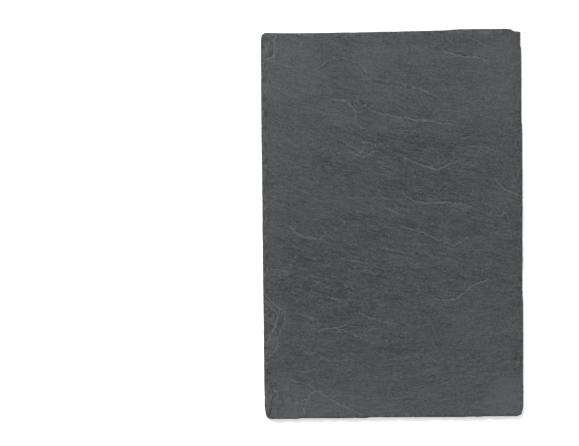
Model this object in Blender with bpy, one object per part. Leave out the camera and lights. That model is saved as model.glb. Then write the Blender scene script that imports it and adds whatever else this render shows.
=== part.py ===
"""A riven slate slab with hand-dressed edges, lying on its flatter bed.

Run it with: blender --background --python part.py

Metres, +Z up. The origin is the middle of the slab's outline, on the surface it lies on. +X runs across
the slab and +Y along it. The slab is one stone. It starts as a finely cut block of nominal size, whose
surface points are moved to the riven face and the chipped edges. The mesh is then thinned to flat facets,
cut off flat at the bed, and has the flakes cut out that came away from its underside.
"""

from math import radians

import bmesh
import bpy
import numpy as np
from mathutils.geometry import interpolate_bezier

# Driving dimensions.
LENGTH = 0.3000
WIDTH = 0.2024
THICKNESS = 0.0050
LAMINA = 0.0005  # the slate splits and chips in leaves about this thick

# The fine block, and the facets that are kept of it.
COLUMNS = 230
ROWS = 330
COURSES = 3
CROWDING = 0.60  # share by which the mesh lines crowd towards the edges
KEPT_SHARE = 0.0275

# Outline: (place along the edge, how far the edge stands outside its nominal line).
FAR_EDGE = (
    (-0.1012, -0.0009), (-0.0985, 0.0006), (-0.0780, 0.0001), (-0.0470, 0.0002), (0.0075, 0.0006),
    (0.0430, 0.0012), (0.0550, 0.0020), (0.0900, 0.0020), (0.0940, 0.0013), (0.0960, -0.0001),
    (0.1012, -0.0005),
)
NEAR_EDGE = (
    (-0.1012, -0.0020), (-0.0978, -0.0002), (-0.0750, 0.0001), (-0.0717, -0.0005), (-0.0220, -0.0001),
    (-0.0190, -0.0006), (0.0526, -0.0001), (0.0620, -0.0004), (0.0640, 0.0000), (0.0700, -0.0005),
    (0.0960, -0.0003), (0.0984, -0.0011), (0.1012, -0.0020),
)
LEFT_EDGE = (
    (-0.1500, -0.0020), (-0.1476, -0.0013), (-0.1400, -0.0002), (-0.0180, 0.0000), (0.1100, 0.0000),
    (0.1450, -0.0003), (0.1485, -0.0008), (0.1500, -0.0015),
)
RIGHT_EDGE = (
    (-0.1500, -0.0024), (-0.1475, -0.0020), (-0.1430, -0.0009), (-0.0907, -0.0003), (-0.0600, -0.0001),
    (-0.0570, -0.0006), (0.0180, 0.0002), (0.0770, 0.0006), (0.0800, 0.0001), (0.1370, 0.0004),
    (0.1385, -0.0002), (0.1500, -0.0001),
)
EDGE_WANDER = 0.00025  # how far the chipped outline strays from those lines
WANDER_CELLS = (0.018, 0.005)  # in waves of about these lengths
FINE_SHARE = 0.5  # weight of the smaller of two noise sizes
EDGE_SEEDS = {"right": 31, "left": 33, "far": 35, "near": 37}
INSET_REACH = 0.0030  # how far into a face the set-in rim pulls the surface

# The side walls: they lean in towards the top, and each leaf breaks off a little differently.
WALL_LEAN = 0.00055
LEAF_RAGGEDNESS = 0.00030
LEAF_CELL = 0.014
LEAF_SPACING = 1.7  # how far apart two courses lie in their noise, so that they don't break alike
LEAF_SEED = 41

# Ledges of the upper face: a line, the height of its riser, and the share of it that is raised ground.
# The high ground lies to the right of the way the points run.
UPPER_LEDGES = (
    (((0.007, 0.053), (0.020, 0.048), (0.034, 0.043), (0.043, 0.047), (0.054, 0.050)), 0.00055, 0.4),
    (((0.006, 0.027), (0.016, 0.020), (0.032, 0.017), (0.049, 0.017), (0.064, 0.013)), 0.00050, 0.5),
    (((0.077, 0.037), (0.089, 0.027), (0.102, 0.021)), 0.00045, 0.5),
    (((0.060, -0.010), (0.049, -0.016), (0.035, -0.012), (0.020, -0.005), (0.003, -0.001)), 0.00045, 0.6),
    (((0.040, 0.135), (0.050, 0.132), (0.063, 0.130), (0.074, 0.128)), 0.00045, 0.8),
    (((-0.049, 0.098), (-0.039, 0.098), (-0.031, 0.093), (-0.027, 0.087), (-0.027, 0.080)), 0.00055, 0.8),
    (((-0.030, 0.098), (-0.020, 0.093), (-0.010, 0.087), (0.025, 0.081), (0.054, 0.077)), 0.00045, 0.5),
    (((0.038, 0.097), (0.027, 0.104), (0.014, 0.108), (-0.008, 0.112), (-0.027, 0.114)), 0.00045, 0.7),
    (((-0.019, 0.117), (-0.026, 0.126), (-0.044, 0.130), (-0.061, 0.119)), 0.00050, 0.2),
    (((-0.081, 0.002), (-0.073, -0.006), (-0.063, -0.009), (-0.056, -0.009), (-0.050, -0.003)), 0.00060, 0.3),
    (((0.030, -0.056), (0.043, -0.059), (0.052, -0.055), (0.061, -0.048), (0.074, -0.043)), 0.00055, 0.5),
    (((-0.070, -0.150), (-0.069, -0.136), (-0.060, -0.128), (-0.044, -0.138), (-0.022, -0.148)),
     0.00070, 0.8),
    (((-0.060, -0.084), (-0.056, -0.080), (-0.043, -0.079), (-0.034, -0.075)), 0.00040, 0.6),
    (((-0.029, -0.066), (-0.015, -0.073), (0.006, -0.078)), 0.00045, 0.5),
    (((-0.101, -0.104), (-0.092, -0.096), (-0.090, -0.086), (-0.085, -0.075), (-0.085, -0.067),
      (-0.093, -0.061), (-0.101, -0.051)), 0.00065, 0.0),
    (((-0.101, -0.093), (-0.096, -0.085), (-0.092, -0.076), (-0.091, -0.069), (-0.095, -0.064),
      (-0.102, -0.057)), 0.00060, 0.0),
    (((-0.103, 0.131), (-0.093, 0.131), (-0.0905, 0.138), (-0.090, 0.146), (-0.088, 0.152)), 0.00075, 0.0),
)
RAISED_FADE = 0.016  # raised ground sinks back to the face over this distance
SUNK_FADE = 0.012  # and sunk ground climbs back over this one
LEDGE_REACH = 5.0 * RAISED_FADE  # ground further than this from a ledge is level
RISER = 0.0009  # width of a ledge's steep side
LEDGE_RAGGEDNESS = 0.0010
RAGGED_CELL = 0.004
LEDGE_TAPER = 3.0  # a ledge reaches its full height a third of the way from each end
LEDGE_SEED = 5

# Small ledges strewn over the upper face, most of them along its grain.
STREWN_LEDGES = 58
STREWN_HALF_LENGTHS = (0.006, 0.021)
STREWN_RISERS = (0.00018, 0.00038)
GRAIN_FALL = radians(13.0)  # the grain falls to the right by this much
GRAIN_SCATTER = radians(12.0)
STREWN_FACING_NEAR = 0.35  # share of them whose high ground is on the far side
STREWN_BOW = 0.3  # greatest bow of the line, as a share of its half length
STREWN_STRAY = 0.05  # and how far its points stray from the bow
STREWN_RAISED = (0.2, 0.8)
STREWN_SEEDS = (9, 7)  # of the lines, and of their raggedness

# Flakes gone from the underside: middle, half width, half length and depth of each ragged oval.
FLAKES = {
    "far": ((-0.006, 0.160), (0.050, 0.052), 0.00050),
    "right": ((0.112, 0.010), (0.050, 0.056), 0.00050),
    "left": ((-0.108, -0.062), (0.066, 0.050), 0.00100),
    "near": ((0.040, -0.160), (0.050, 0.050), 0.00050),
    "corner": ((-0.110, 0.086), (0.036, 0.024), 0.00050),
}
FLAKE_SIDES = 44
FLAKE_RAGGEDNESS = 0.12
FLAKE_SLOPE = 0.012  # share of its radius by which a hollow narrows from the bed to its roof
FLAKE_LOBES = 1.6  # noise cells in the radius, for broad lobes
FLAKE_RAGS = 5.0  # and for small rags
FLAKE_FIRST_SEED = 50

# A crack at the near left corner, where a sliver has nearly come off.
CRACK_LINE = ((-0.0913, -0.1285), (-0.0950, -0.1350), (-0.0960, -0.1420), (-0.0988, -0.1490))
CRACK_WIDTH = 0.0011
CRACK_DEPTH = 0.0012
CRACK_TAPER = 6.0  # it reaches its full depth a sixth of the way from its inner end

# Chips along the edges: seed, how many, least and greatest reach into the face, and depth.
UPPER_CHIPS = {
    "left": (11, 20, 0.0020, 0.0048, 0.0026),
    "right": (12, 16, 0.0004, 0.0014, 0.0013),
    "far": (13, 15, 0.0006, 0.0030, 0.0020),
    "near": (14, 14, 0.0004, 0.0018, 0.0015),
}
UNDER_CHIPS = {
    "left": (21, 14, 0.0006, 0.0022, 0.0012),
    "right": (22, 20, 0.0016, 0.0042, 0.0018),
    "far": (23, 13, 0.0012, 0.0036, 0.0016),
    "near": (24, 14, 0.0014, 0.0040, 0.0018),
}
CHIP_RADII = (0.003, 0.017)
CHIP_DEPTHS = (0.45, 1.0)  # share of the row's depth that a chip has
CHIP_STEPPING = 0.65  # share of a chip's depth that falls in steps, one leaf each
STEP_SHARPNESS = 2.0  # how much steeper a step's riser is than the even fall

# The dressed bevel along the left rim of the upper face. Its inner line wavers.
BEVEL = 0.0022
BEVEL_REACH = 0.0034
BEVEL_WAVER = 0.55
BEVEL_CELLS = ((0.013, 0.020), (0.0042, 0.006))
BEVEL_SEED = 44

# The lie of the upper face: height, cell sizes and seeds of its broad swells and of the ripples on its grain.
SWELL = 0.00035
SWELL_CELLS = ((0.110, 0.080), (0.040, 0.030))
SWELL_START = 0.36  # where across their noise the swells start
SWELL_SEED = 1
RIPPLE = 0.00012
RIPPLE_CELLS = ((0.030, 0.011), (0.016, 0.006))
RIPPLE_SEED = 3
LATTICE = 64  # cells in one side of the noise's random lattice
NOISE_START = 0.3  # off the lattice's own lines, where the noise would be 0

SLATE = (0.0470, 0.0483, 0.0507, 1.0)
SLATE_ROUGHNESS = 0.68
SHARP_ANGLE = radians(14.0)
BED_SPARE = 0.0004  # the block reaches this far below the bed until it is cut off flat there


def clear_scene():
    """Remove whatever the file started with."""
    for obj in list(bpy.data.objects):
        bpy.data.objects.remove(obj, do_unlink=True)


def ease(t):
    """A smooth step from 0 to 1."""
    t = np.clip(t, 0.0, 1.0)
    return t * t * (3.0 - 2.0 * t)


def noise(x, y, seed):
    """Gradient noise of cell size 1, about -0.7 to 0.7."""
    angle = np.random.default_rng(seed).uniform(0.0, 2.0 * np.pi, (LATTICE, LATTICE))
    column, row = np.floor(x).astype(int), np.floor(y).astype(int)
    across, along = x - column, y - row

    def slope(i, j):
        turn = angle[(column + i) % LATTICE, (row + j) % LATTICE]
        return np.cos(turn) * (across - i) + np.sin(turn) * (along - j)

    blend_x, blend_y = ease(across), ease(along)
    near = slope(0, 0) * (1.0 - blend_x) + slope(1, 0) * blend_x
    far = slope(0, 1) * (1.0 - blend_x) + slope(1, 1) * blend_x
    return near * (1.0 - blend_y) + far * blend_y


def smooth_line(points, pieces=5):
    """Points along a smooth curve through the given ones, as rows of x and y."""
    corners = np.array(points)
    ahead, behind = np.roll(corners, -1, axis=0), np.roll(corners, 1, axis=0)
    handles = (ahead - behind) / 6.0
    handles[0] = (corners[1] - corners[0]) / 3.0
    handles[-1] = (corners[-1] - corners[-2]) / 3.0
    line = [corners[0]]
    for start, end, leave, arrive in zip(corners, corners[1:], handles, handles[1:]):
        stretch = interpolate_bezier(start, start + leave, end - arrive, end, pieces + 1)
        line.extend(np.array(point)[:2] for point in stretch[1:])
    return np.array(line)


def distance_to_line(x, y, line):
    """How far each point is to the line's right, negative to its left, and where along it from 0 to 1."""
    start, run = line[:-1], np.diff(line, axis=0)
    from_start = np.stack((x, y), axis=-1)[:, None, :] - start
    share = np.clip((from_start * run).sum(axis=2) / (run * run).sum(axis=1), 0.0, 1.0)
    gap = from_start - share[:, :, None] * run
    away = np.hypot(gap[..., 0], gap[..., 1])
    nearest = away.argmin(axis=1)
    rows = np.arange(len(x))
    gap, run = gap[rows, nearest], run[nearest]
    side = np.sign(run[:, 1] * gap[:, 0] - run[:, 0] * gap[:, 1])
    along = (nearest + share[rows, nearest]) / len(start)
    return side * away[rows, nearest], along


def ledges(x, y, table, seed):
    """Height added by every ledge of a face: a riser along each line, fading out on both sides of it."""
    ragged_x = x + LEDGE_RAGGEDNESS * noise(x / RAGGED_CELL, y / RAGGED_CELL, seed)
    ragged_y = y + LEDGE_RAGGEDNESS * noise(x / RAGGED_CELL, y / RAGGED_CELL, seed + 1)
    height = np.zeros_like(x)
    for points, riser, raised in table:
        line = smooth_line(points)
        low, high = line.min(axis=0) - LEDGE_REACH, line.max(axis=0) + LEDGE_REACH
        near = (x > low[0]) & (x < high[0]) & (y > low[1]) & (y < high[1])
        side, along = distance_to_line(ragged_x[near], ragged_y[near], line)
        sunk = raised - 1.0
        ground = np.where(side > 0.0, raised * np.exp(-side / RAISED_FADE), sunk * np.exp(side / SUNK_FADE))
        profile = np.where(np.abs(side) < RISER / 2.0, sunk + ease(side / RISER + 0.5), ground)
        height[near] += riser * profile * ease(LEDGE_TAPER * np.minimum(along, 1.0 - along))
    return height


def strewn_ledges(seed):
    """A table of small ledges in the form of UPPER_LEDGES: gently bowed lines along the grain."""
    random = np.random.default_rng(seed)
    table = []
    for _ in range(STREWN_LEDGES):
        middle = random.uniform(-0.5, 0.5, 2) * (WIDTH, LENGTH)
        half = random.uniform(*STREWN_HALF_LENGTHS)
        turn = random.normal(-GRAIN_FALL, GRAIN_SCATTER)
        run = random.choice((-1.0, 1.0), p=(STREWN_FACING_NEAR, 1.0 - STREWN_FACING_NEAR))
        share = np.linspace(-1.0, 1.0, 5) * run
        along = half * share
        bow = random.uniform(-STREWN_BOW, STREWN_BOW) * (1.0 - share**2)
        across = half * (bow + random.normal(0.0, STREWN_STRAY, len(share)))
        x = middle[0] + along * np.cos(turn) - across * np.sin(turn)
        y = middle[1] + along * np.sin(turn) + across * np.cos(turn)
        table.append((tuple(zip(x, y)), random.uniform(*STREWN_RISERS), random.uniform(*STREWN_RAISED)))
    return table


def two_sizes(x, y, cells, seed):
    """Noise of two cell sizes, the second one weaker."""
    (wide, long), (narrow, short) = cells
    return noise(x / wide, y / long, seed) + FINE_SHARE * noise(x / narrow, y / short, seed + 1)


def chips(x, y, table):
    """Depth of the scars along the edges: the deepest of shallow bowls whose centres lie outside the slab."""
    half = {"left": WIDTH / 2, "right": WIDTH / 2, "far": LENGTH / 2, "near": LENGTH / 2}
    depth = np.zeros_like(x)
    for side, (seed, count, least_reach, most_reach, deepest) in table.items():
        random = np.random.default_rng(seed)
        run = WIDTH / 2 if side in ("far", "near") else LENGTH / 2
        for place in np.linspace(-run, run, count):
            place += random.uniform(-0.5, 0.5) * 2.0 * run / count
            radius = CHIP_RADII[0] * (CHIP_RADII[1] / CHIP_RADII[0]) ** random.uniform()
            reach = random.uniform(least_reach, most_reach)
            out = half[side] + radius - reach
            middle_x = {"left": -out, "right": out}.get(side, place)
            middle_y = {"near": -out, "far": out}.get(side, place)
            from_middle = np.hypot(x - middle_x, y - middle_y) / radius
            bowl = (1.0 - from_middle**2) / (1.0 - (1.0 - reach / radius) ** 2)
            depth = np.maximum(depth, deepest * random.uniform(*CHIP_DEPTHS) * bowl)
    return depth


def bevel(x, y):
    """Depth of the dressed bevel, which falls evenly from its wavering inner line to the left rim."""
    inside = x + WIDTH / 2
    waver = BEVEL_WAVER * two_sizes(y, inside, BEVEL_CELLS, BEVEL_SEED)
    return BEVEL * np.clip(1.0 + waver - inside / BEVEL_REACH, 0.0, 1.0)


def in_leaves(depth):
    """A depth that falls partly in steps, because the slate breaks away leaf by leaf."""
    leaf = depth / LAMINA
    whole = np.floor(leaf)
    steps = whole + ease((leaf - whole - 0.5) * STEP_SHARPNESS + 0.5)
    return (1.0 - CHIP_STEPPING) * depth + CHIP_STEPPING * LAMINA * steps


def crack(x, y):
    """Depth of the crack's groove."""
    side, along = distance_to_line(x, y, smooth_line(CRACK_LINE))
    return CRACK_DEPTH * ease(1.0 - np.abs(side) / CRACK_WIDTH) * ease(CRACK_TAPER * along)


def upper_face(x, y):
    """Height of the riven upper face above the bed."""
    swell = two_sizes(x + SWELL_START, y, SWELL_CELLS, SWELL_SEED)
    ripple = two_sizes(x, y + x * np.tan(GRAIN_FALL), RIPPLE_CELLS, RIPPLE_SEED)
    height = THICKNESS + SWELL * swell + RIPPLE * ripple
    lines_seed, ragged_seed = STREWN_SEEDS
    height += ledges(x, y, UPPER_LEDGES, LEDGE_SEED) + ledges(x, y, strewn_ledges(lines_seed), ragged_seed)
    return height - in_leaves(np.maximum(chips(x, y, UPPER_CHIPS), bevel(x, y))) - crack(x, y)


def edge_offset(place, table, seed):
    """How far an edge stands outside its nominal line, at each place along it."""
    places, offsets = zip(*table)
    across = np.full_like(place, NOISE_START)
    long, short = WANDER_CELLS
    wander = noise(place / long, across, seed) + FINE_SHARE * noise(place / short, across, seed + 1)
    return np.interp(place, places, offsets) + EDGE_WANDER * wander


def edge_pull(x, y):
    """How strongly each edge moves each point: 1 on the edge, fading into the face."""
    return {
        "right": np.exp((x - WIDTH / 2) / INSET_REACH),
        "left": np.exp((-x - WIDTH / 2) / INSET_REACH),
        "far": np.exp((y - LENGTH / 2) / INSET_REACH),
        "near": np.exp((-y - LENGTH / 2) / INSET_REACH),
    }


def leaf_inset(x, y, level):
    """How far each leaf in the slab's side stands in from the outline. Level is 0 at the bed and 1 on top."""
    around = np.where(np.abs(x) > WIDTH / 2 - INSET_REACH, y, x + LENGTH)
    course = np.round(level * COURSES) * LEAF_SPACING + NOISE_START
    return WALL_LEAN * level**2 + LEAF_RAGGEDNESS * np.abs(noise(around / LEAF_CELL, course, LEAF_SEED))


def outline_shift(x, y, inset):
    """How far the chipped outline, less the inset, moves each point of the nominal rectangle, in x and y."""
    tables = {"right": RIGHT_EDGE, "left": LEFT_EDGE, "far": FAR_EDGE, "near": NEAR_EDGE}
    out = {}
    for edge, pull in edge_pull(x, y).items():
        place = y if edge in ("right", "left") else x
        out[edge] = pull * (edge_offset(place, tables[edge], EDGE_SEEDS[edge]) - inset)
    return out["right"] - out["left"], out["far"] - out["near"]


def crowded(share, half):
    """Mesh lines from -half to half that crowd towards the ends, as the chips need."""
    return half * ((1.0 - CROWDING) * share + CROWDING * np.sin(share * np.pi / 2.0))


def slate_surface(block):
    """Move the points of a block, each coordinate from -1 to 1, onto the slab's surface."""
    x, y = crowded(block[:, 0], WIDTH / 2), crowded(block[:, 1], LENGTH / 2)
    level = (block[:, 2] + 1.0) / 2.0
    shift_x, shift_y = outline_shift(x, y, leaf_inset(x, y, level))
    top, bottom = upper_face(x, y), in_leaves(chips(x, y, UNDER_CHIPS)) - BED_SPARE
    return np.stack((x + shift_x, y + shift_y, bottom + (top - bottom) * level), axis=1)


def fine_block():
    """A mesh of a block from -1 to 1, cut into columns, rows and courses."""
    block = bmesh.new()
    bmesh.ops.create_grid(block, x_segments=COLUMNS, y_segments=ROWS, size=1.0)
    bmesh.ops.translate(block, vec=(0.0, 0.0, 1.0), verts=block.verts)
    copy = bmesh.ops.duplicate(block, geom=block.verts[:] + block.edges[:] + block.faces[:])
    lower = [item for item in copy["geom"] if isinstance(item, bmesh.types.BMVert)]
    bmesh.ops.translate(block, vec=(0.0, 0.0, -2.0), verts=lower)
    underside = [item for item in copy["geom"] if isinstance(item, bmesh.types.BMFace)]
    bmesh.ops.reverse_faces(block, faces=underside)
    rims = [edge for edge in block.edges if edge.is_boundary]
    walls = bmesh.ops.bridge_loops(block, edges=rims)
    bmesh.ops.subdivide_edges(block, edges=walls["edges"], cuts=COURSES - 1, use_grid_fill=True)
    mesh = bpy.data.meshes.new("slate_slab")
    block.to_mesh(mesh)
    block.free()
    return mesh


def points_of(mesh):
    """The mesh's vertices as rows of x, y and z."""
    points = np.empty(len(mesh.vertices) * 3, np.float32)
    mesh.vertices.foreach_get("co", points)
    return points.reshape(-1, 3).astype(float)


def put_points(mesh, points):
    """Write the vertices back."""
    mesh.vertices.foreach_set("co", points.astype(np.float32).ravel())
    mesh.update()


def thinned(slab):
    """The slab's mesh with the flattest triangles merged, which leaves the facets of ledges and chips."""
    thin = slab.modifiers.new("Facets", "DECIMATE")
    thin.ratio = KEPT_SHARE
    graph = bpy.context.evaluated_depsgraph_get()
    mesh = bpy.data.meshes.new_from_object(slab.evaluated_get(graph))
    slab.modifiers.clear()
    return mesh


def centre(mesh):
    """Put the middle of the outline, as it is above the bed, on the origin."""
    points = points_of(mesh)
    above = points[points[:, 2] > 0.0]
    points[:, :2] -= (above[:, :2].min(axis=0) + above[:, :2].max(axis=0)) / 2.0
    put_points(mesh, points)


def bed_cutter():
    """A block under the bed, which cuts the underside off flat."""
    block = bmesh.new()
    bmesh.ops.create_cube(block, size=1.0)
    mesh = bpy.data.meshes.new("bed_cutter")
    block.to_mesh(mesh)
    block.free()
    put_points(mesh, (points_of(mesh) - (0.0, 0.0, 0.5)) * (2.0 * WIDTH, 2.0 * LENGTH, THICKNESS))
    return mesh


def flake_cutter(name, seed):
    """A low drum under the bed, its outline a ragged oval, that takes one flake out of the underside."""
    middle, radii, depth = FLAKES[name]
    drum = bmesh.new()
    bmesh.ops.create_cone(
        drum, cap_ends=True, segments=FLAKE_SIDES, radius1=1.0, radius2=1.0 - FLAKE_SLOPE, depth=1.0
    )
    mesh = bpy.data.meshes.new(name + "_flake_cutter")
    drum.to_mesh(mesh)
    drum.free()
    points = points_of(mesh)
    x, y = points[:, 0], points[:, 1]
    lobes = noise(FLAKE_LOBES * x, FLAKE_LOBES * y, seed)
    rags = noise(FLAKE_RAGS * x, FLAKE_RAGS * y, seed)
    ragged = 1.0 + FLAKE_RAGGEDNESS * (lobes + FINE_SHARE * rags)
    points[:, :2] = middle + points[:, :2] * ragged[:, None] * radii
    points[:, 2] = np.where(points[:, 2] > 0.0, depth, -depth)
    put_points(mesh, points)
    return mesh


def cut_away(slab, mesh, collection):
    """Take the mesh's shape out of the slab, and keep the cutter aside as a guide."""
    cutter = bpy.data.objects.new(mesh.name, mesh)
    cutter.hide_render = True
    cutter.display_type = "WIRE"
    collection.objects.link(cutter)
    cut = slab.modifiers.new(mesh.name, "BOOLEAN")
    cut.operation = "DIFFERENCE"
    cut.solver = "EXACT"
    cut.object = cutter


def slate_material():
    """Dark grey riven slate, dull with a slight silk."""
    slate = bpy.data.materials.new("slate")
    slate.use_nodes = True
    shader = slate.node_tree.nodes["Principled BSDF"]
    shader.inputs["Base Color"].default_value = SLATE
    shader.inputs["Roughness"].default_value = SLATE_ROUGHNESS
    shader.inputs["Metallic"].default_value = 0.0
    return slate


def make_slab(collection, cutters):
    """The slab: block, riven surface, facets, finish, flat bed, and the flakes gone from the underside."""
    mesh = fine_block()
    put_points(mesh, slate_surface(points_of(mesh)))
    slab = bpy.data.objects.new("slate_slab", mesh)
    collection.objects.link(slab)
    slab.data = thinned(slab)
    bpy.data.meshes.remove(mesh)
    slab.data.name = "slate_slab"
    centre(slab.data)
    slab.data.shade_smooth()
    slab.data.set_sharp_from_angle(angle=SHARP_ANGLE)
    slab.data.materials.append(slate_material())
    cut_away(slab, bed_cutter(), cutters)
    for seed, name in enumerate(FLAKES, start=FLAKE_FIRST_SEED):
        cut_away(slab, flake_cutter(name, seed), cutters)


def main():
    """Clear the file, then model the slab and its cutters in two collections."""
    clear_scene()
    collection = bpy.data.collections.new("slate slab")
    cutters = bpy.data.collections.new("cutters")
    for group in (collection, cutters):
        bpy.context.scene.collection.children.link(group)
    make_slab(collection, cutters)


main()
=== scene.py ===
"""A riven slate slab on a pale studio floor, seen from straight above.

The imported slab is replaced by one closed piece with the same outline, ledges, chips and flakes at a finer
grid, on which the ripples of the grain stand out. Metres, +Z up. +X runs across the slab, +Y along it, and
the slab lies on z = 0.
"""

import logging
import math
from dataclasses import dataclass, field
from enum import Enum
from typing import Any, Iterable

import bpy
import numpy as np
from mathutils import Matrix, Vector
from mathutils.geometry import interpolate_bezier


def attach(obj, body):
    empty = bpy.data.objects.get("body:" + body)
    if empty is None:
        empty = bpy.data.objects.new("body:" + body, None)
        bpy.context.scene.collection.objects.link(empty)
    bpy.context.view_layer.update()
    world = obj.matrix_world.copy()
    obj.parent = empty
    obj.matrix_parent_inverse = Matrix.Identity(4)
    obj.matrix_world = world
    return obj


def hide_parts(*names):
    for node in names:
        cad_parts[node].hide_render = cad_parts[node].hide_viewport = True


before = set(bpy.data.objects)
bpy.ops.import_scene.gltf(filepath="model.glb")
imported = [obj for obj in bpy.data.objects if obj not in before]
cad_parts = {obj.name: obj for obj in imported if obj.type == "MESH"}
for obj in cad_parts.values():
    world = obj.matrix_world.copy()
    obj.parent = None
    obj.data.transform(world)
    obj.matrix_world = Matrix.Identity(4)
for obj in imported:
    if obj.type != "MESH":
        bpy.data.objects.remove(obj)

logging.basicConfig(level=logging.INFO, format="%(message)s")
LOG = logging.getLogger("slate_slab")
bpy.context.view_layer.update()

Array = np.ndarray
Point = tuple[float, float]
Triple = tuple[float, float, float]
Colour = tuple[float, float, float, float]
Lips = tuple[Array, Array, Array]


# Noise and lines

LATTICE = 64


def ease(t: Array) -> Array:
    """Smooth step: t squared times (3 - 2t), held at 0 below 0 and at 1 above 1."""
    t = np.clip(t, 0.0, 1.0)
    return t * t * (3.0 - 2.0 * t)


def noise(x: Array, y: Array, seed: int) -> Array:
    """Gradient noise of cell size 1: at each lattice point a seeded slope, blended over the cell by ease.

    Args:
        x: First coordinate, in cells.
        y: Second coordinate, in cells.
        seed: Seed of the lattice's slopes.

    Returns:
        Values of about -0.7 to 0.7.
    """
    angle = np.random.default_rng(seed).uniform(0.0, 2.0 * np.pi, (LATTICE, LATTICE))
    column, row = np.floor(x).astype(int), np.floor(y).astype(int)
    across, along = x - column, y - row

    def slope(i: int, j: int) -> Array:
        """Height of the plane through one corner of the cell."""
        turn = angle[(column + i) % LATTICE, (row + j) % LATTICE]
        return np.cos(turn) * (across - i) + np.sin(turn) * (along - j)

    blend_x, blend_y = ease(across), ease(along)
    near = slope(0, 0) * (1.0 - blend_x) + slope(1, 0) * blend_x
    far = slope(0, 1) * (1.0 - blend_x) + slope(1, 1) * blend_x
    return near * (1.0 - blend_y) + far * blend_y


def stepped(level: Array, steepness: float) -> Array:
    """Terraces of height 1: the whole part of level, plus its rest eased over 1/steepness of the step."""
    whole = np.floor(level)
    return whole + ease((level - whole) * steepness - (steepness - 1.0) / 2.0)


def smooth_line(points: Iterable[Point], pieces: int = 5) -> Array:
    """A smooth curve through points: cubic pieces, whose handles are a sixth of the step between neighbours.

    Args:
        points: Points that the curve passes through.
        pieces: Straight pieces between each two points.

    Returns:
        Rows of x and y along the curve.
    """
    corners = np.array(points)
    handles = (np.roll(corners, -1, axis=0) - np.roll(corners, 1, axis=0)) / 6.0
    handles[0] = (corners[1] - corners[0]) / 3.0
    handles[-1] = (corners[-1] - corners[-2]) / 3.0
    line = [corners[0]]
    for start, end, leave, arrive in zip(corners, corners[1:], handles, handles[1:]):
        stretch = interpolate_bezier(start, start + leave, end - arrive, end, pieces + 1)
        line.extend(np.array(point)[:2] for point in stretch[1:])
    return np.array(line)


def distance_to_line(x: Array, y: Array, line: Array) -> tuple[Array, Array]:
    """Signed distance to a line of straight pieces: the nearest point on the nearest piece.

    Args:
        x: Across the slab.
        y: Along it.
        line: Rows of x and y.

    Returns:
        The distance, above 0 to the right of the line's run, and the share of the line's run, 0 to 1.
    """
    start, run = line[:-1], np.diff(line, axis=0)
    from_start = np.stack((x, y), axis=-1)[:, None, :] - start
    share = np.clip((from_start * run).sum(axis=2) / (run * run).sum(axis=1), 0.0, 1.0)
    gap = from_start - share[:, :, None] * run
    away = np.hypot(gap[..., 0], gap[..., 1])
    nearest = away.argmin(axis=1)
    rows = np.arange(len(x))
    gap, run = gap[rows, nearest], run[nearest]
    side = np.sign(run[:, 1] * gap[:, 0] - run[:, 0] * gap[:, 1])
    return side * away[rows, nearest], (nearest + share[rows, nearest]) / len(start)


# The stone's features


class Edge(Enum):
    """The slab's four sides, each with the way out of the slab."""

    LEFT = (-1.0, 0.0)
    RIGHT = (1.0, 0.0)
    FAR = (0.0, 1.0)
    NEAR = (0.0, -1.0)


@dataclass(frozen=True)
class Ledge:
    """A leaf's broken edge on the riven face. The high ground lies to the right of the way its line runs."""

    line: tuple[Point, ...]
    riser: float
    raised: float = 0.5


@dataclass(frozen=True)
class ChipRow:
    """The scars knocked off one rim by the dressing tool."""

    edge: Edge
    seed: int
    count: int
    least_reach: float
    most_reach: float
    depth: float


@dataclass(frozen=True)
class Spot:
    """An oval place on a face, and the strength there: a tone, a crushing, or the depth of a flake."""

    middle: Point
    radii: Point
    strength: float

    def away(self, x: Array, y: Array) -> tuple[Array, Array]:
        """Distances from the middle, in radii."""
        return (x - self.middle[0]) / self.radii[0], (y - self.middle[1]) / self.radii[1]


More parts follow.
